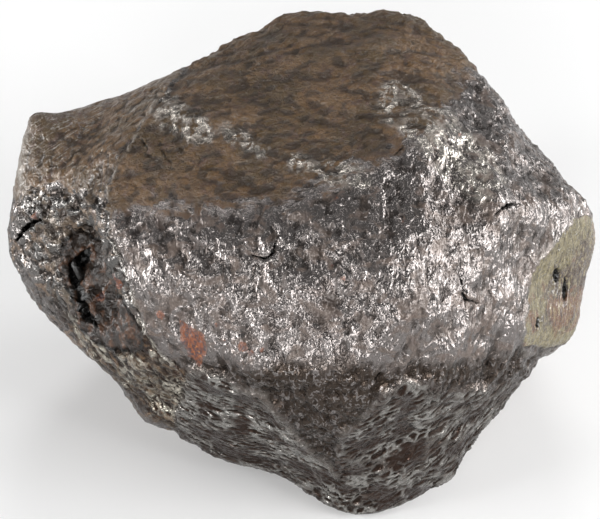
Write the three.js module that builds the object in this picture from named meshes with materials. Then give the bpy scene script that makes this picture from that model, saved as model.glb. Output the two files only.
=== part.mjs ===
// An iron meteorite: one solid lump of nickel-iron, a little over 100 mm long and about 2.5 kg.
// Its flight through the air left broad flat facets with softened ridges between them, shallow
// thumb-shaped hollows, one deep pit on the left end and a flatter underside that it rests on.
//
// Millimetres, +Z up, origin on the resting plane under the middle of the stone. +X runs along the
// stone's length and -Y is its broad front.
//
// The stone is described lying on its back: x along its length, y across it and z through its
// thickness, towards the front. It is then tipped up about X to the way it rests.
import * as THREE from "three";
import { ConvexHull } from "three/addons/math/ConvexHull.js";
import { ImprovedNoise } from "three/addons/math/ImprovedNoise.js";
import { mergeVertices } from "three/addons/utils/BufferGeometryUtils.js";

const REST_TILT = THREE.MathUtils.degToRad(50); // from lying on its back to how it rests
const REST_LEVEL = -37.6; // height of the resting plane once the stone is tipped up
const REST_EASE = 0.5; // the resting face rounds off over this much height on either side of its plane
const HEART = new THREE.Vector3(2, -2, -4); // every corner can be seen from here
const SPHERE_DETAIL = 24; // each side of the starting icosahedron is cut into one more than this
const TINY = 1e-5; // as good as nothing, on a sphere of radius 1
const SOFTEN_ROUNDS = 4; // weathers the ridges to about 2 mm radius
const SOFTEN_DRAW = 0.5;
const SOFTEN_PUSH = -0.53;

// Where the facets meet, as [x, y, z]. Each list follows one edge or one face of the stone.
const CORNERS = {
  outline: [
    [-49, 28, -6], [-41, 28, -8], [-31, 31, -8], [-23, 35, -8], [-14, 39, -9], [-8, 42, -10],
    [-3, 45, -10], [5, 46, -10], [17, 47, -9], [22, 45, -8], [29, 39, -4], [36, 31, -2],
    [42, 22, -2], [48, 13, -2], [53, 8, -5], [54, 4, -6], [52, -5, -7], [51, -13, -8],
    [44, -18, -5], [37, -24, -3], [31, -32, -4], [28, -39, -5], [21, -43, -6], [12, -47, -6],
    [6, -45, -5], [-1, -40, -6], [-14, -36, -7], [-23, -31, -8], [-29, -29, -8], [-33, -22, -7],
    [-40, -16, -8], [-48, -9, -9], [-53, 0, -8], [-54, 6, -7], [-52, 15, -7], [-50, 23, -6],
  ],
  leftRidge: [
    [-22, 33, 1], [-26, 26, 9], [-31, 19, 14], [-33, 13, 18], [-32, 5, 21], [-28, -6, 22],
    [-24, -14, 21], [-18, -21, 19],
  ],
  hornTrough: [[-38, 24, -2], [-42, 17, 3], [-47, 20, -1]],
  pittedEnd: [[-48, 7, 0], [-45, -3, 0], [-40, 8, 8], [-36, -12, 8], [-31, -18, 8]],
  shoulder: [
    [-12, 33, 6], [0, 37, 5], [15, 37, 6], [25, 32, 7], [-17, 26, 13], [-2, 26, 14],
    [14, 25, 16], [-22, 18, 18], [-9, 17, 21], [5, 19, 21],
  ],
  brow: [[-24, 11, 22], [-12, 10, 26], [0, 10, 29], [12, 16, 27], [22, 23, 20]],
  front: [
    [-17, -5, 27], [-2, -5, 32], [13, 2, 34], [24, 9, 28], [17, -10, 34], [29, -5, 27],
    [36, 11, 20], [42, 9, 14], [33, 23, 10], [28, 31, 4],
  ],
  cleanFace: [[51, 11, 2], [45, 4, 10], [40, -2, 13], [39, -12, 14], [38, -19, 9]],
  foot: [
    [-14, -14, 26], [-8, -20, 27], [0, -18, 30], [8, -20, 31], [14, -22, 29], [24, -21, 25],
    [33, -22, 15],
  ],
  footRidges: [
    [-16, -19, 22], [-11, -21, 23], [-6, -23, 22], [-3, -27, 19], [3, -33, 12], [8, -39, 4],
    [7, -29, 21], [8, -36, 9],
  ],
  underLeft: [[-13, -28, 9], [-21, -26, 4], [-5, -34, 2]],
  underRight: [[22, -31, 12], [16, -37, 7], [28, -27, 10]],
  backEdge: [
    [-48, 18, -19], [-38, 27, -22], [-20, 33, -25], [0, 40, -27], [20, 37, -25], [37, 25, -20],
    [50, 9, -19], [47, -8, -24], [-51, 4, -19], [-44, -8, -24],
  ],
  back: [
    [-40, 6, -34], [-28, 21, -36], [-8, 27, -40], [16, 28, -38], [34, 18, -34], [43, 4, -36],
    [-12, 8, -46], [16, 8, -47],
  ],
  restingFace: [
    [-14, -31, -24], [-26, -18, -39], [30, -29, -27], [36, -16, -41], [5, -11, -48],
  ],
};

// Thumb-shaped hollows in the facets: where, how far across from the middle, and how deep.
const HOLLOWS = [
  { at: [-39, 23, 0], radius: 9, depth: 1.2 }, // trough behind the horn
  { at: [-9, 14, 24], radius: 12, depth: 1.3 },
  { at: [19, 37, 5], radius: 9, depth: 1 },
  { at: [27, 10, 26], radius: 8, depth: 1.3 }, // valley between the two swellings of the front
  { at: [31, -5, 26], radius: 8, depth: 1.3 },
  { at: [-10, -29, 15], radius: 9, depth: 2.2 }, // dish under the foot ridge
  { at: [-18, -25, 14], radius: 8, depth: 1.4 },
  { at: [4, -31, 16], radius: 6, depth: 0.8 },
  { at: [18, -32, 15], radius: 10, depth: 1.2 },
  { at: [44, -5, 5], radius: 8, depth: 0.6 },
  { at: [-20, 24, -32], radius: 13, depth: 2.4 }, // the back's own set
  { at: [12, 34, -31], radius: 12, depth: 2 },
  { at: [36, 12, -34], radius: 11, depth: 2.2 },
  { at: [-40, 6, -29], radius: 11, depth: 2.4 },
  { at: [2, 15, -45], radius: 12, depth: 2 },
  { at: [-30, -6, -36], radius: 10, depth: 1.8 },
  { at: [-6, -25, -33], radius: 9, depth: 3 }, // in the resting face
];

// The deep pit in the left end, as overlapping scoops with steep walls.
const PIT_STEEPNESS = 1.5;
const PIT = [
  { at: [-39, 2, 9], radius: 7.5, depth: 5 },
  { at: [-36, -6, 10], radius: 7.5, depth: 4.5 },
];

// Slow waves over the whole surface, which keep the facets from being flat.
const WAVES = [
  { length: 15, height: 0.75 },
  { length: 7, height: 0.25 },
];

const noise = new ImprovedNoise();

// The stone as flat triangles from corner to corner. Corners are joined as the hull of their
// directions from the heart joins them, so that dips stay dips.
function facetsBetween(corners) {
  const cornerOf = new Map();
  const directions = corners.map((corner) => {
    const direction = corner.clone().normalize();
    cornerOf.set(direction, corner);
    return direction;
  });
  return new ConvexHull().setFromPoints(directions).faces.map((face) => {
    const start = face.edge;
    return [start, start.next, start.next.next].map((edge) => cornerOf.get(edge.head().point));
  });
}

// Where a ray from the heart leaves the stone.
function surfaceAlong(direction, facets) {
  for (const { facet, inverse } of facets) {
    const share = direction.clone().applyMatrix3(inverse);
    if (Math.min(share.x, share.y, share.z) >= -TINY) {
      return direction.clone().divideScalar(share.x + share.y + share.z);
    }
  }
  throw new Error("no facet lies along " + direction.toArray());
}

function withInverse(facet) {
  const [a, b, c] = facet;
  const matrix = new THREE.Matrix3(a.x, b.x, c.x, a.y, b.y, c.y, a.z, b.z, c.z);
  return { facet, inverse: matrix.invert() };
}

// Weathers the edges. Each round draws every point towards the average of its neighbours and then
// pushes it back almost as far, which rounds the ridges and leaves the stone its size.
function soften(points, index, rounds) {
  const neighbours = points.map(() => new Set());
  for (let i = 0; i < index.length; i += 3) {
    for (const [a, b] of [[0, 1], [1, 2], [2, 0]]) {
      neighbours[index[i + a]].add(index[i + b]);
      neighbours[index[i + b]].add(index[i + a]);
    }
  }
  for (let round = 0; round < rounds; round++) {
    for (const share of [SOFTEN_DRAW, SOFTEN_PUSH]) {
      const before = points.map((point) => point.clone());
      points.forEach((point, i) => {
        const average = new THREE.Vector3();
        for (const n of neighbours[i]) average.add(before[n]);
        point.lerp(average.divideScalar(neighbours[i].size), share);
      });
    }
  }
}

// Presses a hollow towards the heart, deepest in the middle. A steeper wall has a flatter floor.
function press(points, { at, radius, depth }, steepness = 1) {
  const middle = new THREE.Vector3(...at).sub(HEART);
  for (const point of points) {
    const away = Math.min(point.distanceTo(middle) / radius, 1);
    const share = (1 - away ** (2 * steepness)) ** 2;
    point.setLength(point.length() - depth * share);
  }
}

function ruffle(points, { length, height }) {
  for (const point of points) {
    const rise = noise.noise(point.x / length, point.y / length, point.z / length);
    point.setLength(point.length() + height * rise);
  }
}

function meteoriteGeometry() {
  const corners = Object.values(CORNERS)
    .flat()
    .map((place) => new THREE.Vector3(...place).sub(HEART));
  const facets = facetsBetween(corners).map(withInverse);

  const sphere = new THREE.IcosahedronGeometry(1, SPHERE_DETAIL);
  sphere.deleteAttribute("normal");
  sphere.deleteAttribute("uv");
  const geometry = mergeVertices(sphere, TINY);
  const position = geometry.getAttribute("position");
  const points = [];
  for (let i = 0; i < position.count; i++) {
    const direction = new THREE.Vector3().fromBufferAttribute(position, i).normalize();
    points.push(surfaceAlong(direction, facets));
  }
  HOLLOWS.forEach((hollow) => press(points, hollow));
  PIT.forEach((scoop) => press(points, scoop, PIT_STEEPNESS));
  soften(points, geometry.index.array, SOFTEN_ROUNDS);
  WAVES.forEach((wave) => ruffle(points, wave));
  points.forEach((point, i) => {
    point.add(HEART);
    position.setXYZ(i, point.x, point.y, point.z);
  });
  return geometry;
}

// Height left above the resting plane: nothing below it, all of it well above, easing over between.
function worn(height) {
  if (height <= -REST_EASE) return 0;
  if (height >= REST_EASE) return height;
  return (height + REST_EASE) ** 2 / (4 * REST_EASE);
}

// Tips the stone up, wears it flat at the resting plane, and puts the origin under its middle.
function standOnRestingFace(geometry) {
  geometry.rotateX(REST_TILT);
  const position = geometry.getAttribute("position");
  for (let i = 0; i < position.count; i++) {
    position.setZ(i, REST_LEVEL + worn(position.getZ(i) - REST_LEVEL));
  }
  geometry.computeBoundingBox();
  const middle = geometry.boundingBox.getCenter(new THREE.Vector3());
  geometry.translate(-middle.x, -middle.y, -REST_LEVEL);
  return geometry;
}

const geometry = standOnRestingFace(meteoriteGeometry());
geometry.computeVertexNormals();
const patina = new THREE.MeshStandardMaterial({ color: 0x4a403a, roughness: 0.4, metalness: 0.6 });
const meteorite = new THREE.Mesh(geometry, patina);
meteorite.name = "meteorite";

const object = new THREE.Group();
object.add(meteorite);

export default object;
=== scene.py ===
import math

import bpy
import numpy as np
from mathutils import Matrix, Vector, noise


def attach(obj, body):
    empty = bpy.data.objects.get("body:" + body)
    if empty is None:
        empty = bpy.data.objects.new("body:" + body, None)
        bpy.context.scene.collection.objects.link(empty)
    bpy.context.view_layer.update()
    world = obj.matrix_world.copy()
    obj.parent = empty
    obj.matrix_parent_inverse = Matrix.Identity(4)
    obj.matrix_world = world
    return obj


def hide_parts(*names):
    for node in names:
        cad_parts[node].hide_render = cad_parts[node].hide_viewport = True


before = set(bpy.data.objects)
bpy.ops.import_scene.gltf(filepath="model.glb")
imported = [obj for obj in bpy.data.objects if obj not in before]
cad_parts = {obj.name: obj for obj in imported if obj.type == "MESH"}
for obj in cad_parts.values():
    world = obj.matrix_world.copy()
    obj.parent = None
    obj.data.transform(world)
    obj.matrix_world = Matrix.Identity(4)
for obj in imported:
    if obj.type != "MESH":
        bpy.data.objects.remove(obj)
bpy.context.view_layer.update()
bpy.ops.object.select_all(action="DESELECT")

# ---------------------------------------------------------------------------------------------
# The lump. A solid piece of nickel-iron whose broad facets and ridges come from the CAD node. It
# is a merged copy of that node, rounded once and wrapped in an even skin of small faces, fine
# enough to carry the relief of the surface.
MM = 0.001
MERGE = 0.001 * MM
SKIN_FACE = 0.70 * MM
SOFTEN = 0.5
SOFTEN_ROUNDS = 4


def finish_with(piece, kind, **settings):
    """Adds a modifier to the active piece and applies it."""
    modifier = piece.modifiers.new(kind.lower(), kind)
    for name, value in settings.items():
        setattr(modifier, name, value)
    bpy.ops.object.modifier_apply(modifier=modifier.name)


stone = bpy.data.objects.new("weathered_iron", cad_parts["meteorite"].data.copy())
bpy.context.collection.objects.link(stone)
bpy.context.view_layer.objects.active = stone
stone.select_set(True)
stone.data.materials.clear()
bpy.ops.object.mode_set(mode="EDIT")
bpy.ops.mesh.select_all(action="SELECT")
bpy.ops.mesh.remove_doubles(threshold=MERGE)
bpy.ops.object.mode_set(mode="OBJECT")
finish_with(stone, "SUBSURF", levels=1, render_levels=1)
finish_with(stone, "REMESH", mode="VOXEL", voxel_size=SKIN_FACE)
finish_with(stone, "SMOOTH", factor=SOFTEN, iterations=SOFTEN_ROUNDS)

# ---------------------------------------------------------------------------------------------
# The stone's regions, each weathered in its own way. Places are in millimetres on the stone lying
# on its back, x along its length, y across it and z up out of its broad front, because each
# facet's edges are plain lines from there. Each region becomes a weight on every point, 0 to 1.
# It is written as how far inside its edge a point lies, and over how wide a band it fades.
LEAN = math.radians(50)
LYING_HEART = Vector((-0.07, -5.73, 37.6)) * MM
lying_to_row = Matrix.Translation(LYING_HEART) @ Matrix.Rotation(LEAN, 4, "X")
row_to_lying = np.array(lying_to_row.inverted())


def points_of(piece):
    """Every point's place, in metres."""
    flat = np.empty(len(piece.data.vertices) * 3)
    piece.data.vertices.foreach_get("co", flat)
    return flat.reshape(-1, 3)


def lying_points(piece):
    """Every point's place on the stone lying on its back, in millimetres."""
    return (points_of(piece) @ row_to_lying[:3, :3].T + row_to_lying[:3, 3]) / MM


def past(amount, soft):
    """1 where amount is well above 0, 0 where it is well below, easing over soft millimetres."""
    share = np.clip(amount / soft + 0.5, 0, 1)
    return share * share * (3 - 2 * share)


FAR = 1e9
TINY = 1e-9
LINE_REACH = 4  # how far before or behind its line a mark still shows


def away_from(line, spots, axes=3):
    """Distance of every spot to a line of places; with 2 axes, as seen from straight in front."""
    line = np.array(line, float)
    nearest = np.full(len(spots), FAR)
    for start, end in zip(line[:-1], line[1:]):
        step = (end - start)[:axes]
        gap = (spots - start)[:, :axes]
        share = np.clip(gap @ step / max(step @ step, TINY), 0, 1)
        nearest = np.minimum(nearest, np.linalg.norm(gap - share[:, None] * step, axis=1))
    depth = np.abs(spots[:, 2] - line[:, 2].mean())
    return nearest + np.maximum(depth - np.ptp(line[:, 2]) - LINE_REACH, 0)


# Openings in the metal, each a line of places, half its width and its depth. After the six short
# cracks come the slit in the left end, the holes in the small flat facet and the pit's undercut.
CRACKS = [
    ([(-3.9, 4.6, 29.5), (-4.2, 2.9, 29.8), (-4.7, 1.3, 30.0), (-6.0, 0.7, 29.7),
      (-8.4, 1.3, 29.1)], 0.14, 0.7),
    ([(27.2, -1.6, 26.7), (27.7, -4.7, 26.4), (28.1, -6.4, 25.7), (30.4, -7.0, 24.2)], 0.14, 0.7),
    ([(33.0, 8.0, 21.8), (34.5, 9.2, 21.1), (36.0, 9.9, 19.7), (38.6, 10.2, 17.2)], 0.14, 0.7),
    ([(16.0, 18.5, 23.9), (17.2, 19.7, 23.1), (18.2, 20.6, 22.3)], 0.13, 0.5),
    ([(-28.9, 22.7, 10.7), (-27.8, 21.7, 12.5), (-26.7, 20.3, 14.2),
      (-26.2, 18.5, 15.7)], 0.11, 0.4),
    ([(-24.4, 20.4, 15.6), (-23.3, 18.4, 17.1), (-22.0, 16.8, 18.6)], 0.11, 0.4),
    ([(-51.2, 3.7, -4.0), (-49.7, 6.0, -2.4), (-46.4, 7.4, 1.0)], 0.32, 1.6),
    ([(-48.6, 9.6, -1.4), (-48.3, 7.0, -1.0)], 0.22, 0.9),
    ([(45.3, -1.6, 4.6), (45.5, -3.2, 4.0)], 0.75, 1.8),
    ([(47.2, -2.9, 1.4), (47.2, -6.6, 0.3)], 0.5, 1.1),
    ([(41.9, -10.0, 9.3), (41.7, -11.1, 8.9)], 0.65, 1.6),
    ([(47.3, 0.6, 3.7), (47.2, -1.0, 3.4)], 0.11, 0.4),
    ([(-35.8, -11.6, 5), (-37.6, -9.1, 5), (-38.6, -6.7, 5), (-39.8, -3.5, 5), (-39.5, 0, 5),
      (-37.2, 2.1, 6)], 0.7, 2.0),
]

# Narrow lips that stand up along the sharpest ridges, each a line of places, half its width, its
# height and how much it is paled, as worn metal and painted highlight. The fourth is the horn's
# stout corner.
LIPS = [
    ([(-24, 31, 2), (-29, 22, 11), (-33.4, 13.2, 18), (-32.9, 5.5, 21), (-28.6, -6.5, 22),
      (-25.7, -13.4, 21), (-19.7, -21.1, 18)], 0.2, 0.3, 0.75),
    ([(-19.1, -18.1, 20), (-12.1, -20.0, 23), (-9.9, -22, 23), (-6, -23.1, 22), (-3.8, -26.2, 20),
      (0, -31, 15.5), (2.8, -33.8, 12), (8.7, -39.5, 4)], 0.4, 0.45, 0.3),
    ([(6.6, -32.8, 16), (7.2, -29.3, 20), (10.4, -27, 23), (14.1, -22.6, 28),
      (17.6, -19.7, 31)], 0.5, 0.4, 0.2),
    ([(-48.8, 27.8, -10), (-48.4, 27.4, -2)], 2.4, 2.4, 0.1),
    ([(-49.0, 27.0, -8), (-49.8, 20.5, -6), (-50.6, 13.2, -5)], 0.8, 0.5, 0.75),
    ([(50.5, 11, 2), (48.3, 7.4, 6), (45.3, 3.8, 9.5), (42.3, 0.7, 11.5), (40.4, -2.2, 13),
      (39.4, -6, 13.5), (39.0, -11, 14), (39.6, -16.5, 11)], 0.3, 0.35, 0.7),
    ([(40.5, -16.2, 10), (46, -16.4, 4), (51, -14, -4)], 0.7, 0.3, 0.4),
    ([(32.3, -22.8, 14), (27.3, -26.6, 13), (22.5, -31.2, 10), (21.6, -37.1, 3)], 0.8, 0.4, 0.2),
]
LEFT_RIM = LIPS[0]
STOUT = 2  # a lip at least this wide to either side is whole, and a narrower one is broken

# The upper edge of the foot, in x and y. The foot's own two facets lie below it.
FOOT = [
    (-40, -23), (-20, -18.3), (-12, -20), (-9.9, -22), (-6, -23.1), (-3.8, -26.2), (0, -31),
    (2.8, -33.8), (5.8, -36), (6.8, -31), (10.4, -27), (14.1, -22.6), (17.6, -19.7), (23.6, -22.1),
    (33.3, -21.5), (60, -19),
]


def cut_finer(chosen, cuts):
    """Cuts the skin between the chosen points into smaller faces."""
    bpy.ops.object.mode_set(mode="EDIT")
    bpy.ops.mesh.select_mode(type="VERT")
    bpy.ops.mesh.select_all(action="DESELECT")
    bpy.ops.object.mode_set(mode="OBJECT")
    stone.data.vertices.foreach_set("select", chosen)
    bpy.ops.object.mode_set(mode="EDIT")
    bpy.ops.mesh.subdivide(number_cuts=cuts)
    bpy.ops.object.mode_set(mode="OBJECT")


# The skin is cut finer under the foot, which is netted with fine crests, and finest along the
# cracks and the left rim, so that each has true walls.
FOOT_BACK = -6
WALL_REACH = 0.5
spots = lying_points(stone)
below_edge = spots[:, 1] < np.interp(spots[:, 0], *np.array(FOOT).T)
cut_finer(below_edge & (spots[:, 2] > FOOT_BACK), 1)
spots = lying_points(stone)
beside = [away_from(line, spots, 2) - half for line, half, *_ in [*CRACKS, LEFT_RIM]]
cut_finer(np.min(beside, axis=0) < WALL_REACH, 2)

lying = lying_points(stone)
row = points_of(stone)
x, y, z = lying.T


def wander(size, reach, seed):
    """A slow random drift at every point, in millimetres, so that no edge is a plain line."""
    shift = Vector((seed, 0, 0))
    return reach * np.array([noise.noise(Vector(p) / size + shift) for p in lying])


def inside(outline):
    """How far inside a flat outline in x and y every point lies, negative outside."""
    outline = np.array(outline, float)
    spot = lying[:, :2]
    nearest = np.full(len(spot), FAR)
    crossings = np.zeros(len(spot), int)
    for start, end in zip(outline, np.roll(outline, -1, axis=0)):
        step = end - start
        share = np.clip((spot - start) @ step / (step @ step), 0, 1)
        nearest = np.minimum(nearest, np.linalg.norm(spot - start - share[:, None] * step, axis=1))
        spans = (start[1] > spot[:, 1]) != (end[1] > spot[:, 1])
        rise = end[1] - start[1] or TINY
        cross_x = start[0] + (spot[:, 1] - start[1]) / rise * step[0]
        crossings += spans & (spot[:, 0] < cross_x)
    return np.where(crossings % 2 == 1, nearest, -nearest)


drift = wander(6, 2.2, 0) + wander(2, 0.8, 50)

# The left end's edge, as y and x, and the crown's lower edge, as x and y.
RIDGE = [
    (-27, -22), (-19, -19.5), (-15, -24.5), (-6, -28.5), (5, -32.6), (13, -33.7), (20, -31),
    (26, -26), (35, -21),
]
BROW = [
    (-33, 9.5), (-17, 9.7), (-2, 10.8), (8, 15.5), (15, 19), (20, 21), (24, 25), (27, 31), (60, 45),
]
FOOT_SPLIT = 5.8
facing = past(z + 8 + drift, 6)
left_end = past(np.interp(y, *np.array(RIDGE).T) - x + 0.3 * drift, 1.5) * past(z + 20, 12)
top = past(y - np.interp(x, *np.array(BROW).T) + drift, 6) * (1 - left_end) * past(z + 14, 8)
foot = past(np.interp(x, *np.array(FOOT).T) - y + 0.4 * drift, 2)
foot *= (1 - left_end) * past(z + 16, 10)
foot_right = foot * past(x - FOOT_SPLIT, 2)
foot_left = foot - foot_right
front = facing * (1 - left_end) * (1 - top) * (1 - foot)
behind = np.clip(1 - left_end - top - foot - front, 0, 1)

# The small flat facet's outline, and the pit's line. Nothing is raised close to the table.
CLEAN_FACE = [
    (52, 8), (48.3, 7.4), (45.5, 3.6), (42.5, 0.5), (40.6, -2.2), (39.6, -6), (39.2, -11),
    (39.8, -14.4), (44, -15.2), (52, -14), (58, -5), (58, 8),
]
clean_face = past(inside(CLEAN_FACE) + 0.25 * drift, 0.9) * past(z + 11, 5)
PIT_RADIUS = 5.4
REST_BAND = 1.2
PIT = [(-38.5, -0.5, 5), (-36, -5, 6), (-36, -10, 7), (-31.5, -11.5, 14)]
pit = past(PIT_RADIUS + 0.3 * drift - away_from(PIT, lying), 4)
above_rest = past(row[:, 2] / MM - REST_BAND, 2)

# The large patch of bright rust, in x and y, and the spots, each its place and its reach.
RUST_PATCH = [
    (-20.9, -9.8), (-18.2, -11.0), (-16.0, -12.2), (-15.7, -15.0), (-17.4, -18.2), (-19.0, -16.6),
    (-20.4, -13.6),
]
RUST_SPOTS = [
    (-9.6, -14.2, 27.6, 0.9), (-8.2, -15.2, 27.9, 0.6), (-6.4, -14.8, 28.6, 0.5),
    (6.2, 10.9, 29.1, 0.55), (-23.9, -9.0, 22.5, 0.9), (5.5, -0.5, 32.5, 0.4),
    (7.2, -2.7, 32.8, 0.45), (17.1, 7.0, 30.4, 0.4), (-12.7, -13.2, 26.6, 0.4),
    (-14.2, -10.7, 26.5, 0.5), (27.7, 22.0, 15.3, 0.5), (-24.7, 9.2, 22.0, 0.4),
    (-47.4, 8.3, 0.1, 0.9), (-32.0, -3.6, 16.7, 1.6), (-35.5, -6.0, 7.0, 1.4),
    (-31.0, 7.5, 20.0, 0.4), (20, 20, -44, 2.2), (-18, 5, -44, 1.5), (40, 5, -34, 1.0),
    (-44, 5, -22, 1.2), (5, 38, -20, 1.0),
]
OUT_OF_SIGHT = 20
rust_edge = inside(RUST_PATCH) - OUT_OF_SIGHT * (z < 0)
for *place, reach in RUST_SPOTS:
    rust_edge = np.maximum(rust_edge, reach - np.linalg.norm(lying - place, axis=1))
film_edge = np.minimum(inside(CLEAN_FACE) + 0.25 * drift, z + 11)

# A crack narrows to a fifth of its width at its ends, and its edges are ragged.
TIP_SHARE = 0.2
TIP_LENGTH = 2.4
crack = np.zeros(len(lying))
ragged = wander(0.7, 0.1, 9)
for line, half, depth in CRACKS:
    from_start = np.linalg.norm(lying[:, :2] - line[0][:2], axis=1)
    from_end = np.linalg.norm(lying[:, :2] - line[-1][:2], axis=1)
    ends_off = np.minimum(from_start, from_end)
    width = half * np.clip(TIP_SHARE + ends_off / TIP_LENGTH, 0, 1) + ragged
    crack = np.maximum(crack, depth * past(width - away_from(line, lying, 2), half))

# Each point will keep how far it stands out of its surroundings, so that its dips can be darkened
# as painted shade.
ends = np.empty(len(stone.data.edges) * 2, int)
stone.data.edges.foreach_get("vertices", ends)
ends = ends.reshape(-1, 2)
joined = np.bincount(ends.ravel(), minlength=len(lying))


def averaged(values, rounds):
    """Every point's value drawn to its neighbours' average, so many times over."""
    for _ in range(rounds):
        total = np.zeros_like(values)
        np.add.at(total, ends[:, 0], values[ends[:, 1]])
        np.add.at(total, ends[:, 1], values[ends[:, 0]])
        values = total / joined[:, None]
    return values


def standing_out(rounds):
    """How far every point stands out of its neighbourhood, in millimetres."""
    now = points_of(stone)
    normals = np.empty(len(now) * 3)
    stone.data.vertex_normals.foreach_get("vector", normals)
    gap = now - averaged(now, rounds)
    return (gap * normals.reshape(-1, 3)).sum(axis=1) / MM


LEAST_WEIGHT = 0.01
CELL_BEND = 0.35
CREST_SHARE = 0.4


def netted(across, along, turn, where):
    """Crests that close round long cells like a net, from 0 inside a cell to 1 on a crest."""
    turned = Matrix.Rotation(math.radians(-turn), 3, "Z")
    to_cells = Matrix.Diagonal((1 / across, 1 / along, 1 / across)) @ turned
    crests = np.zeros(len(lying))
    for point in np.flatnonzero(where > LEAST_WEIGHT):
        cell = to_cells @ Vector(lying[point])
        cell += CELL_BEND * noise.noise_vector(cell * 0.8)
        near, next_near = noise.voronoi(cell)[0][:2]
        crests[point] = 1 - min((next_near - near) / CREST_SHARE, 1)
    return crests**2


# Crests net the two facets of the foot, and the lower left end is streaked with long ones.
NET_HEIGHT = 0.5
streaked = left_end * past(-9 - y + drift, 4) * past(z + 5, 3)
net = netted(1.1, 3.4, 78, foot_left) * past(foot_left - 0.5, 0.5)
net += netted(0.9, 6, 28, streaked) * past(streaked - 0.5, 0.5)
net += netted(1.3, 4.6, -38, foot_right) * past(foot_right - 0.5, 0.5)
net *= np.clip(0.75 + wander(4, 1.3, 33), 0.1, 1)

lip = np.zeros(len(lying))
rubbed_and_highlit = np.zeros(len(lying))
broken = np.clip(0.75 + wander(3, 1.3, 20), 0.15, 1)
for line, half, height, wear_and_highlight in LIPS:
    along_lip = np.exp(-(((away_from(line, lying, 2) + 0.15 * drift) / half) ** 2))
    along_lip *= broken if half < STOUT else 1
    lip = np.maximum(lip, height * along_lip)
    rubbed_and_highlit = np.maximum(rubbed_and_highlit, wear_and_highlight * along_lip)
apron = front * past(-17 - y + drift, 4)
horn = left_end * past(y - 12 + drift, 5) * (1 - pit)

# Places on the crown where the brown crust has worn through, each a line and half its width.
WORN_THROUGH = [
    ([(-26, 28, 11), (-18, 23, 17)], 3.0),
    ([(-12, 22.8, 16), (-7, 19.5, 19)], 1.6),
    ([(0, 17.3, 24), (10, 14.2, 28)], 2.0),
    ([(17, 28, 15), (31, 15, 19)], 4.2),
]
worn_through = np.zeros(len(lying))
for line, half in WORN_THROUGH:
    worn_through = np.maximum(worn_through, past(half + 0.6 * drift - away_from(line, lying, 2), 2))
worn_through *= facing

# The left end is calmer where it is streaked, on the horn and towards its back.
left_end_relief = left_end * (1 - 0.5 * streaked) * (1 - 0.5 * horn)
left_end_relief *= 0.4 + 0.6 * past(z + 3, 5)
REGIONS = {
    "horn": horn,
    "apron": apron,
    "streaked": streaked,
    "left_end": left_end_relief,
    "top": top,
    "foot_left": foot_left,
    "foot_right": foot_right,
    "front": front * (1 - clean_face),
    "behind": behind,
    "clean_face": clean_face,
    "worn_through": worn_through,
    "pit": pit,
}


def keep(name, values):
    """Stores a value on every point of the stone, for its material to read."""
    attribute = stone.data.attributes.new(name, "FLOAT", "POINT")
    attribute.data.foreach_set("value", values.astype(np.float32))


for name, weight in REGIONS.items():
    group = stone.vertex_groups.new(name=name + "_relief")
    raised = weight * above_rest
    for point in np.flatnonzero(raised > LEAST_WEIGHT):
        group.add([int(point)], float(raised[point]), "REPLACE")
    keep(name, weight)

# ---------------------------------------------------------------------------------------------
# The relief. Heat and weather left the metal wrinkled like crumpled foil, with a grain that runs
# down the front, along the top and slantwise under the foot. Each layer is a displacement along
# the normals, masked to its region, with grains of a real width and length in millimetres.


def wrinkle(region, kind, across, along, turn, height, **settings):
    """Displaces one region by a texture with grains of that width and length, turned about Z."""
    texture = bpy.data.textures.new(region, kind)
    texture.noise_scale = 1
    for name, value in settings.items():
        setattr(texture, name, value)
    grain = bpy.data.objects.new("grain", None)
    bpy.context.collection.objects.link(grain)
    stretch = Matrix.Diagonal((across * MM, along * MM, across * MM, 1))
    grain.matrix_world = lying_to_row @ Matrix.Rotation(math.radians(turn), 4, "Z") @ stretch
    bpy.context.view_layer.update()
    finish_with(
        stone,
        "DISPLACE",
        texture=texture,
        texture_coords="OBJECT",
        texture_coords_object=grain,
        vertex_group=region + "_relief",
        strength=height * MM,
        mid_level=0.5,
    )
    bpy.data.objects.remove(grain)


wrinkle("front", "CLOUDS", 6, 9, 0, 1.6, noise_depth=1)
wrinkle("front", "DISTORTED_NOISE", 1.9, 4.2, 0, 0.36, distortion=1.2)
wrinkle("top", "CLOUDS", 4.5, 8, 80, 1.8, noise_depth=1)
wrinkle("top", "DISTORTED_NOISE", 2.0, 3.6, 75, 0.5, distortion=1.2)
wrinkle("left_end", "CLOUDS", 5, 5, 0, 1.3, noise_depth=1)
wrinkle("left_end", "DISTORTED_NOISE", 2.2, 3.0, 60, 1.0, distortion=1.2)
wrinkle("apron", "DISTORTED_NOISE", 1.7, 2.4, 0, 0.5, distortion=1.2)
wrinkle("clean_face", "CLOUDS", 1.1, 5, 8, 0.4, noise_depth=1)
wrinkle("foot_left", "CLOUDS", 5, 7, 80, 1.0, noise_depth=1)
wrinkle("foot_left", "CLOUDS", 2, 4, 78, 0.5, noise_depth=1)
wrinkle("foot_right", "CLOUDS", 5, 7, -40, 1.0, noise_depth=1)
wrinkle("foot_right", "CLOUDS", 2, 3, -38, 0.5, noise_depth=1)
wrinkle("behind", "VORONOI", 9, 12, 20, 2.6)
wrinkle("behind", "CLOUDS", 4, 6, 20, 1.0, noise_depth=1)
wrinkle("behind", "DISTORTED_NOISE", 1.8, 3.2, 20, 0.4, distortion=1.2)
wrinkle("pit", "CLOUDS", 2.8, 2.8, 0, 1.8, noise_depth=1)


def press(piece, depth):
    """Moves every point in along its normal by its own depth, but never below the table."""
    normals = np.empty(len(piece.data.vertices) * 3)
    piece.data.vertex_normals.foreach_get("vector", normals)
    moved = points_of(piece) - normals.reshape(-1, 3) * depth[:, None] * MM
    moved[:, 2] = np.maximum(moved[:, 2], 0)
    piece.data.vertices.foreach_set("co", moved.ravel())
    piece.data.update()


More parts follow.
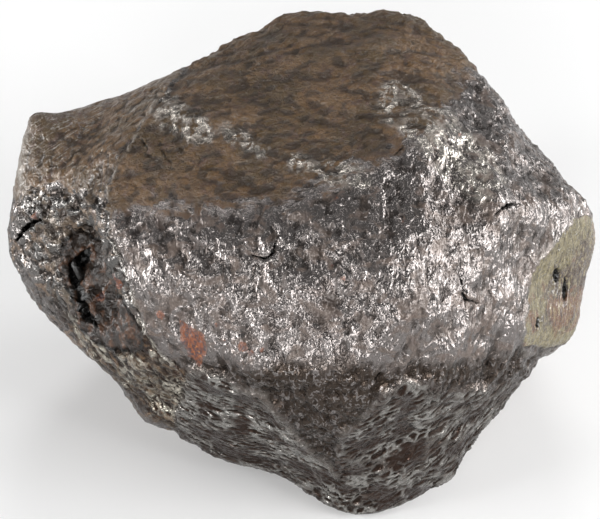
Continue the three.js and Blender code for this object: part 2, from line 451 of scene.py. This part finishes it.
press(stone, crack - lip - NET_HEIGHT * net * above_rest)
bpy.ops.object.shade_smooth()
HOLLOW_ROUNDS = 6
MEASURES = {
    "stands_out": standing_out(HOLLOW_ROUNDS),
    "rust_edge": rust_edge,
    "film_edge": film_edge,
    "crack": crack,
    "rubbed_and_highlit": rubbed_and_highlit,
    "net": net,
}
for name, values in MEASURES.items():
    keep(name, values)

# ---------------------------------------------------------------------------------------------
# Nickel-iron under its own oxides. Where the metal is bare it is a dark lavender grey with a
# gloss; brown iron oxide lies over the rest, dull and rough, with bright rust in a few places.
BUMP_HEIGHT = 0.45 * MM
HALFWAY = (0.5, 0.5, 0.5)


def srgb(hex_value):
    """An sRGB hex colour as linear values."""
    parts = [int(hex_value[i : i + 2], 16) / 255 for i in (1, 3, 5)]
    return [c / 12.92 if c <= 0.04045 else ((c + 0.055) / 1.055) ** 2.4 for c in parts] + [1]


def add(tree, kind, inputs=(), **settings):
    """Adds a node. Its inputs are values, sockets, or nodes, which give their first live output."""
    made = tree.nodes.new("ShaderNode" + kind)
    for name, value in settings.items():
        setattr(made, name, value)
    for socket, value in inputs.items() if isinstance(inputs, dict) else enumerate(inputs):
        if isinstance(value, bpy.types.Node):
            value = next(output for output in value.outputs if output.enabled)
        if isinstance(value, bpy.types.NodeSocket):
            tree.links.new(value, made.inputs[socket])
        else:
            made.inputs[socket].default_value = value
    return made


iron = bpy.data.materials.new("oxidised_nickel_iron")
iron.use_nodes = True
tree = iron.node_tree
tree.nodes.clear()
place = add(tree, "TexCoord").outputs["Object"]
weight = {}
for name in [*REGIONS, *MEASURES]:
    weight[name] = add(tree, "Attribute", attribute_name=name).outputs["Fac"]


def grained(across, along, turn):
    """Object coordinates turned to lie along a grain, in grains."""
    turned = add(tree, "Mapping", {"Vector": place, "Rotation": (-LEAN, 0, -math.radians(turn))})
    grains = (1 / (across * MM), 1 / (along * MM), 1 / (across * MM))
    return add(tree, "VectorMath", [turned, grains], operation="MULTIPLY")


def foil(across, along, turn, bend=0.9):
    """Height of crumpled foil, in grains: small flat plates tilted every way, and their creases."""
    grain = grained(across, along, turn)
    ripple = add(tree, "TexNoise", {"Vector": grain, "Scale": 1.3, "Detail": 1.0})
    shift = add(tree, "VectorMath", [ripple.outputs["Color"], HALFWAY], operation="SUBTRACT")
    shift = add(tree, "VectorMath", {0: shift, "Scale": bend}, operation="SCALE")
    bent = add(tree, "VectorMath", [grain, shift], operation="ADD")
    plates = add(tree, "TexVoronoi", {"Vector": bent, "Scale": 1.0})
    lean = add(tree, "VectorMath", [plates.outputs["Color"], HALFWAY], operation="SUBTRACT")
    from_middle = add(tree, "VectorMath", [bent, plates.outputs["Position"]], operation="SUBTRACT")
    tilted = add(tree, "VectorMath", [lean, from_middle], operation="DOT_PRODUCT")
    swell = add(
        tree,
        "TexNoise",
        {"Vector": grain, "Scale": 0.7, "Detail": 1, "Roughness": 0.5, "Distortion": 1.0},
    )
    return add(tree, "Math", [tilted, 0.55, swell], operation="MULTIPLY_ADD")


# Clouds of colour, each by its width across the grain, its length along it in millimetres, the
# grain's turn, and the noise's detail, roughness and distortion.
CLOUDS = {
    "leather": (0.8, 1.3, 80, 4, 0.65, 0.4),
    "blotch": (9, 7, 0, 4, 0.6, 0.6),
    "patches": (3.5, 6, 78, 2, 0.6, 0.6),
    "matte": (3.2, 5, 84, 3, 0.6, 0.8),
    "mottle": (1.6, 2.6, 0, 4, 0.6, 0.4),
    "streak": (0.9, 2.2, 80, 3, 0.65, 0.8),
    "spangle": (0.9, 1.4, 0, 2, 0.6, 1.0),
    "grit": (0.9, 1.1, 0, 3, 0.65, 0.8),
    "speck": (0.5, 0.6, 0, 2, 0.6, 0.0),
    "fibre": (0.45, 4.0, 8, 3, 0.6, 1.2),
    "fan": (0.35, 6, -57, 2, 0.6, 0.6),
}
cloud = {}
for name, (across, along, turn, detail, rough, bend) in CLOUDS.items():
    cloud[name] = add(
        tree,
        "TexNoise",
        {
            "Vector": grained(across, along, turn),
            "Scale": 1,
            "Detail": detail,
            "Roughness": rough,
            "Distortion": bend,
        },
    )

down_grain = foil(0.9, 1.6, 0)
along_grain = foil(0.8, 2.4, 82)
slant_grain = foil(0.9, 2.2, -38)
no_grain = foil(1.1, 1.1, 0)
fine_grain = foil(0.42, 0.6, 0, 0.6)
leather = add(tree, "MapRange", [cloud["leather"], 0.32, 0.68], interpolation_type="SMOOTHSTEP")
height = add(tree, "Mix", {0: weight["front"], 2: no_grain, 3: down_grain}, data_type="FLOAT")
height = add(tree, "Mix", {0: weight["foot_left"], 2: height, 3: along_grain}, data_type="FLOAT")
height = add(tree, "Mix", {0: weight["top"], 2: height, 3: leather}, data_type="FLOAT")
height = add(tree, "Mix", {0: weight["foot_right"], 2: height, 3: slant_grain}, data_type="FLOAT")
height = add(tree, "Math", [fine_grain, 0.24, height], operation="MULTIPLY_ADD")
hollow = add(tree, "MapRange", [height, 0.55, 0.25], interpolation_type="SMOOTHSTEP")

ragged = add(tree, "Math", [cloud["matte"], 4.0, -3.0], operation="MULTIPLY_ADD")
ragged = add(tree, "Math", [cloud["blotch"], 2.0, ragged], operation="MULTIPLY_ADD")


def frayed(region, low, high):
    """A region's weight with a ragged edge. Well inside it frays less, outside it not at all."""
    from_outside = add(tree, "MapRange", [region, 0, 0.12], interpolation_type="SMOOTHSTEP")
    from_inside = add(tree, "MapRange", [region, 0.85, 1, 1, 0.3], interpolation_type="SMOOTHSTEP")
    edge = add(tree, "Math", [from_outside, from_inside], operation="MULTIPLY")
    frayed_weight = add(tree, "Math", [ragged, edge, region], operation="MULTIPLY_ADD")
    return add(tree, "MapRange", [frayed_weight, low, high], interpolation_type="SMOOTHSTEP")


# Where each coat lies. The brown crust covers the crown and the horn, except where it has worn
# through, and lies in patches elsewhere, but not under the foot or on the apron.
foot = add(
    tree, "Math", [weight["foot_left"], weight["foot_right"]], operation="ADD", use_clamp=True
)
film = add(tree, "Math", [cloud["mottle"], 1.6, weight["film_edge"]], operation="MULTIPLY_ADD")
film = add(tree, "MapRange", [film, 0.5, 0.8], interpolation_type="SMOOTHSTEP")
rust = add(tree, "Math", [cloud["mottle"], 0.8, weight["rust_edge"]], operation="MULTIPLY_ADD")
rust = add(tree, "MapRange", [rust, 0.3, 0.65], interpolation_type="SMOOTHSTEP")
through = add(tree, "MapRange", [cloud["mottle"], 0.4, 0.56], interpolation_type="SMOOTHSTEP")
through = add(tree, "Math", [weight["worn_through"], through], operation="MULTIPLY")
kept = add(tree, "MapRange", [through, 0, 1, 1, 0], interpolation_type="SMOOTHSTEP")
crown = frayed(weight["top"], 0.15, 0.75)
crown = add(tree, "Math", [crown, kept], operation="MULTIPLY")
horn = frayed(weight["horn"], 0.3, 0.7)
horn = add(tree, "Math", [horn, 0.85], operation="MULTIPLY")
uncrusted = add(tree, "Math", [foot, weight["apron"]], operation="MAXIMUM")
crustable = add(tree, "MapRange", [uncrusted, 0, 1, 1, 0], interpolation_type="SMOOTHSTEP")
crusted = add(
    tree, "MapRange", [cloud["matte"], 0.48, 0.62, 0, 0.65], interpolation_type="SMOOTHSTEP"
)
crusted = add(tree, "Math", [crusted, crustable], operation="MULTIPLY")
crusted = add(tree, "Math", [crusted, crown], operation="MAXIMUM")
crusted = add(tree, "Math", [crusted, horn], operation="MAXIMUM")
# Points sunk below their surroundings are darkened with umber as painted shade, more on the left
# end.
sunk_shade = add(tree, "MapRange", [weight["stands_out"], -0.01, -0.12], interpolation_type="SMOOTHSTEP")
# The pit's wall is painted black as its shadow.
pit_rim_shadow = add(tree, "MapRange", [weight["pit"], 0.25, 0.6], interpolation_type="SMOOTHSTEP")
pit_floor = add(tree, "MapRange", [weight["pit"], 0.6, 0.95], interpolation_type="SMOOTHSTEP")
# The bump's low points are painted brown, partly brown oxide and partly painted shade in the
# creases.
crease_shade = add(tree, "Math", [hollow, 0.55], operation="MULTIPLY")

# Under the foot a net of crests is paled, as worn metal and painted sheen, with dimples between
# them painted dark as shade.
crests = add(tree, "Math", [cloud["mottle"], 0.8, weight["net"]], operation="MULTIPLY_ADD")
crests = add(tree, "MapRange", [crests, 0.45, 1.0], interpolation_type="SMOOTHSTEP")
patches = add(
    tree, "MapRange", [cloud["patches"], 0.4, 0.58, 0.3, 1], interpolation_type="SMOOTHSTEP"
)
crests = add(tree, "Math", [crests, patches], operation="MULTIPLY")

# The crust, the film and the netted foot are smoother than bare metal.
calm = add(tree, "Math", [film, 0.6], operation="MULTIPLY")
calm = add(tree, "Math", [crown, calm], operation="MAXIMUM")
calm_foot = add(tree, "Math", [foot, 0.5], operation="MULTIPLY")
calm = add(tree, "Math", [calm, calm_foot], operation="MAXIMUM")
height_scale = add(tree, "Mix", {0: calm, 2: 1.0, 3: 0.6}, data_type="FLOAT")
height = add(tree, "Math", [height, height_scale], operation="MULTIPLY")

# The crust itself: two browns in blotches, redder in spots, streaked with worn metal and umber.
OXIDE_BROWN = srgb("#5f4629")
OXIDE_DARK = srgb("#463314")
OXIDE_RED = srgb("#4d372c")
OXIDE_PURPLE = srgb("#45362f")
WORN_AND_HIGHLIGHT = srgb("#a09c96")
UMBER = srgb("#1f160f")
share = add(tree, "MapRange", [cloud["blotch"], 0.42, 0.58], interpolation_type="SMOOTHSTEP")
oxide = add(tree, "Mix", {0: share, 6: OXIDE_BROWN, 7: OXIDE_DARK}, data_type="RGBA")
share = add(tree, "MapRange", [cloud["mottle"], 0.5, 0.7], interpolation_type="SMOOTHSTEP")
oxide = add(tree, "Mix", {0: share, 6: oxide, 7: OXIDE_RED}, data_type="RGBA")
share = add(
    tree, "MapRange", [cloud["streak"], 0.55, 0.72, 0, 0.2], interpolation_type="SMOOTHSTEP"
)
oxide = add(tree, "Mix", {0: share, 6: oxide, 7: WORN_AND_HIGHLIGHT}, data_type="RGBA")
share = add(
    tree, "MapRange", [cloud["streak"], 0.46, 0.3, 0, 0.4], interpolation_type="SMOOTHSTEP"
)
oxide = add(tree, "Mix", {0: share, 6: oxide, 7: UMBER}, data_type="RGBA")
share = add(tree, "MapRange", [cloud["fan"], 0.54, 0.66, 0, 0.6], interpolation_type="SMOOTHSTEP")
share = add(tree, "Math", [share, weight["horn"]], operation="MULTIPLY")
oxide = add(tree, "Mix", {0: share, 6: oxide, 7: WORN_AND_HIGHLIGHT}, data_type="RGBA")
share = add(tree, "Math", [weight["front"], 0.7], operation="MULTIPLY")
oxide = add(tree, "Mix", {0: share, 6: oxide, 7: OXIDE_PURPLE}, data_type="RGBA")

# The bare metal, darker on the left end and pale where the crust has worn through. Under the foot
# its crests are paled, as worn metal and painted sheen, and its dimples are painted dark as shade.
BARE = srgb("#706b69")
BARE_LEFT = srgb("#605e5c")
CREST_WEAR_AND_SHEEN = srgb("#8a8884")
CREST_PALE_WEAR_AND_SHEEN = srgb("#a9a498")
FOOT_DIMPLE_SHADE = srgb("#30241e")
SPARK = srgb("#b4aea6")
APRON = srgb("#3c342e")
crest_sheen_colour = add(tree, "Mix", {0: weight["streaked"], 6: CREST_WEAR_AND_SHEEN, 7: CREST_PALE_WEAR_AND_SHEEN}, data_type="RGBA")
foot_sheen_and_shade = add(tree, "Mix", {0: crests, 6: FOOT_DIMPLE_SHADE, 7: crest_sheen_colour}, data_type="RGBA")
bare = add(tree, "Mix", {0: weight["left_end"], 6: BARE, 7: BARE_LEFT}, data_type="RGBA")
share = add(tree, "Math", [foot, weight["streaked"]], operation="MAXIMUM")
bare = add(tree, "Mix", {0: share, 6: bare, 7: foot_sheen_and_shade}, data_type="RGBA")
bare = add(tree, "Mix", {0: through, 6: bare, 7: SPARK}, data_type="RGBA")
colour = add(tree, "Mix", {0: crusted, 6: bare, 7: oxide}, data_type="RGBA")
dull = add(tree, "MapRange", [cloud["spangle"], 0.54, 0.6], interpolation_type="SMOOTHSTEP")
dull = add(tree, "MapRange", [dull, 0, 1, 1, 0], interpolation_type="SMOOTHSTEP")
share = add(tree, "Math", [weight["apron"], dull], operation="MULTIPLY")
colour = add(tree, "Mix", {0: share, 6: colour, 7: APRON}, data_type="RGBA")

# The pit's wall is painted black as shadow and its floor holds brown oxide; the creases and every
# other dip are darkened as painted shade; the lips are paled as worn metal and painted highlight.
SHADE_BLACK = srgb("#0a0806")
PIT_BROWN = srgb("#4a3120")
CREASE_SHADE_BROWN = srgb("#37281e")
colour = add(tree, "Mix", {0: pit_rim_shadow, 6: colour, 7: SHADE_BLACK}, data_type="RGBA")
share = add(
    tree, "MapRange", [cloud["mottle"], 0.46, 0.62, 0.1, 0.95], interpolation_type="SMOOTHSTEP"
)
share = add(tree, "Math", [pit_floor, share], operation="MULTIPLY")
colour = add(tree, "Mix", {0: share, 6: colour, 7: PIT_BROWN}, data_type="RGBA")
colour = add(tree, "Mix", {0: crease_shade, 6: colour, 7: CREASE_SHADE_BROWN}, data_type="RGBA")
share = add(tree, "Mix", {0: weight["left_end"], 2: 0.6, 3: 0.85}, data_type="FLOAT")
share = add(tree, "Math", [sunk_shade, share], operation="MULTIPLY")
colour = add(tree, "Mix", {0: share, 6: colour, 7: UMBER}, data_type="RGBA")
# The lips are paled as worn metal and painted highlight.
share = add(
    tree, "MapRange", [cloud["mottle"], 0.38, 0.56, 0.3, 1], interpolation_type="SMOOTHSTEP"
)
share = add(tree, "Math", [weight["rubbed_and_highlit"], share], operation="MULTIPLY")
colour = add(tree, "Mix", {0: share, 6: colour, 7: WORN_AND_HIGHLIGHT}, data_type="RGBA")

# The yellowish, fibrous film on the small right facet, browner towards its middle.
FILM = srgb("#5f573f")
FILM_PALE = srgb("#7d7459")
FILM_BROWN = srgb("#41352b")
FILM_RED = srgb("#573c29")
share = add(tree, "Math", [cloud["mottle"], 9, weight["film_edge"]], operation="MULTIPLY_ADD")
share = add(tree, "MapRange", [share, 7.0, 9.0], interpolation_type="SMOOTHSTEP")
film_colour = add(tree, "Mix", {0: share, 6: FILM, 7: FILM_BROWN}, data_type="RGBA")
share = add(tree, "MapRange", [cloud["blotch"], 0.52, 0.62], interpolation_type="SMOOTHSTEP")
film_colour = add(tree, "Mix", {0: share, 6: film_colour, 7: FILM_RED}, data_type="RGBA")
share = add(
    tree, "MapRange", [cloud["fibre"], 0.52, 0.64, 0, 0.8], interpolation_type="SMOOTHSTEP"
)
film_colour = add(tree, "Mix", {0: share, 6: film_colour, 7: FILM_PALE}, data_type="RGBA")
share = add(
    tree, "MapRange", [cloud["fibre"], 0.5, 0.34, 0, 0.85], interpolation_type="SMOOTHSTEP"
)
film_colour = add(tree, "Mix", {0: share, 6: film_colour, 7: UMBER}, data_type="RGBA")
colour = add(tree, "Mix", {0: film, 6: colour, 7: film_colour}, data_type="RGBA")

# Bright rust, dark at its edge and orange in specks.
RUST = srgb("#6f3918")
RUST_DARK = srgb("#3a2323")
ORANGE = srgb("#b0712f")
share = add(tree, "MapRange", [cloud["grit"], 0.4, 0.56], interpolation_type="SMOOTHSTEP")
rust_colour = add(tree, "Mix", {0: share, 6: RUST_DARK, 7: RUST}, data_type="RGBA")
share = add(tree, "MapRange", [cloud["speck"], 0.6, 0.72, 0, 0.7], interpolation_type="SMOOTHSTEP")
rust_colour = add(tree, "Mix", {0: share, 6: rust_colour, 7: ORANGE}, data_type="RGBA")
share = add(tree, "MapRange", [cloud["speck"], 0.42, 0.32], interpolation_type="SMOOTHSTEP")
rust_colour = add(tree, "Mix", {0: share, 6: rust_colour, 7: RUST_DARK}, data_type="RGBA")
share = add(
    tree, "MapRange", [weight["rust_edge"], 0.2, 0.9, 0.7, 1], interpolation_type="SMOOTHSTEP"
)
rust = add(tree, "Math", [rust, share], operation="MULTIPLY")
colour = add(tree, "Mix", {0: rust, 6: colour, 7: rust_colour}, data_type="RGBA")
# Cracks are painted black as the shade in their depth.
share = add(tree, "MapRange", [weight["crack"], 0.1, 0.5], interpolation_type="SMOOTHSTEP")
colour = add(tree, "Mix", {0: share, 6: colour, 7: SHADE_BLACK}, data_type="RGBA")

# Every coat is a dielectric; the rest is metal, glossiest where it is bare.
earthy = add(tree, "Math", [rust, pit_floor], operation="MAXIMUM")
coated = add(tree, "Math", [crusted, film], operation="MAXIMUM")
coated = add(tree, "Math", [coated, earthy], operation="MAXIMUM")
coated = add(tree, "Math", [coated, crease_shade], operation="MAXIMUM")
metallic = add(tree, "MapRange", [coated, 0, 1, 0.9, 0], interpolation_type="SMOOTHSTEP")
rough = add(tree, "Mix", {0: crusted, 2: 0.19, 3: 0.33}, data_type="FLOAT")
rough = add(tree, "Mix", {0: hollow, 2: rough, 3: 0.55}, data_type="FLOAT")
rough = add(tree, "Mix", {0: earthy, 2: rough, 3: 0.42}, data_type="FLOAT")
bump = add(tree, "Bump", {"Height": height, "Distance": BUMP_HEIGHT, "Strength": 1.0})
shader = add(
    tree,
    "BsdfPrincipled",
    {"Base Color": colour, "Metallic": metallic, "Roughness": rough, "Normal": bump},
)
add(tree, "OutputMaterial", {"Surface": shader})
stone.data.materials.append(iron)
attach(stone, "root")
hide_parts("meteorite")

# ---------------------------------------------------------------------------------------------
# The room. A matt white table in a pale studio, with soft lamps all round.
TABLE_WIDTH = 8
bpy.ops.mesh.primitive_plane_add(size=TABLE_WIDTH)
table_top = bpy.context.object
table_top.name = "table_top"
paper = bpy.data.materials.new("white_acrylic_table")
paper.use_nodes = True
paper_shader = paper.node_tree.nodes["Principled BSDF"]
paper_shader.inputs["Base Color"].default_value = srgb("#f0f0f0")
paper_shader.inputs["Roughness"].default_value = 0.8
table_top.data.materials.append(paper)

world = bpy.data.worlds.new("studio")
bpy.context.scene.world = world
world.use_nodes = True
sky = world.node_tree
direction = add(sky, "TexCoord").outputs["Generated"]
rise = add(sky, "SeparateXYZ", [direction]).outputs["Z"]
wall = add(sky, "MapRange", [rise, 0.05, 0.45, 0.7, 0.28], interpolation_type="SMOOTHSTEP")
sky.links.new(wall.outputs["Result"], sky.nodes["Background"].inputs["Strength"])
sky.nodes["Background"].inputs["Color"].default_value = (1, 1, 1, 1)

# Each lamp's way round from the front and its rise, in degrees, its distance, width and height in
# metres, and its radiance.
LAMPS = {
    "key": (60, 27, 0.85, 0.42, 0.30, 10.5),
    "right": (88, 4, 0.80, 0.40, 0.19, 17),
    "rim": (112, 15, 0.80, 0.25, 0.25, 13),
    "front": (-8, 24, 0.90, 0.28, 0.28, 11),
    "low": (-20, 8, 0.90, 0.42, 0.14, 13),
    "left": (-88, 6, 0.80, 0.40, 0.16, 23),
    "high_left": (-58, 36, 0.80, 0.15, 0.24, 9),
    "behind": (178, 48, 0.80, 0.28, 0.14, 11),
}
MIDDLE = Vector((0, 0, 0.034))
for name, (way_round, rise, distance, wide, tall, radiance) in LAMPS.items():
    a, e = math.radians(way_round), math.radians(rise)
    back = Vector((math.sin(a) * math.cos(e), -math.cos(a) * math.cos(e), math.sin(e)))
    light = bpy.data.lights.new(name, "AREA")
    light.shape = "RECTANGLE"
    light.size = wide
    light.size_y = tall
    light.energy = radiance * math.pi * wide * tall
    lamp = bpy.data.objects.new(name, light)
    bpy.context.collection.objects.link(lamp)
    lamp.location = MIDDLE + back * distance
    lamp.rotation_euler = (-back).to_track_quat("-Z", "Y").to_euler()

# The camera looks down on the front from 40 degrees above the table.
CAMERA_RISE = math.radians(40)
CAMERA_DISTANCE = 0.530
FIELD_WIDTH = 106.8 * MM
SENSOR_WIDTH = 36
AIM_LIFT = 0.445 * MM
AIM = LYING_HEART + Vector((0, math.sin(CAMERA_RISE), math.cos(CAMERA_RISE))) * AIM_LIFT
lens = bpy.data.cameras.new("camera")
camera = bpy.data.objects.new("camera", lens)
bpy.context.collection.objects.link(camera)
back = Vector((0, -math.cos(CAMERA_RISE), math.sin(CAMERA_RISE)))
camera.location = AIM + back * CAMERA_DISTANCE
camera.rotation_euler = (-back).to_track_quat("-Z", "Y").to_euler()
lens.sensor_width = SENSOR_WIDTH
lens.lens = SENSOR_WIDTH * CAMERA_DISTANCE / FIELD_WIDTH
lens.clip_start = 0.01
bpy.context.scene.camera = camera
bpy.context.scene.view_settings.view_transform = "Standard"
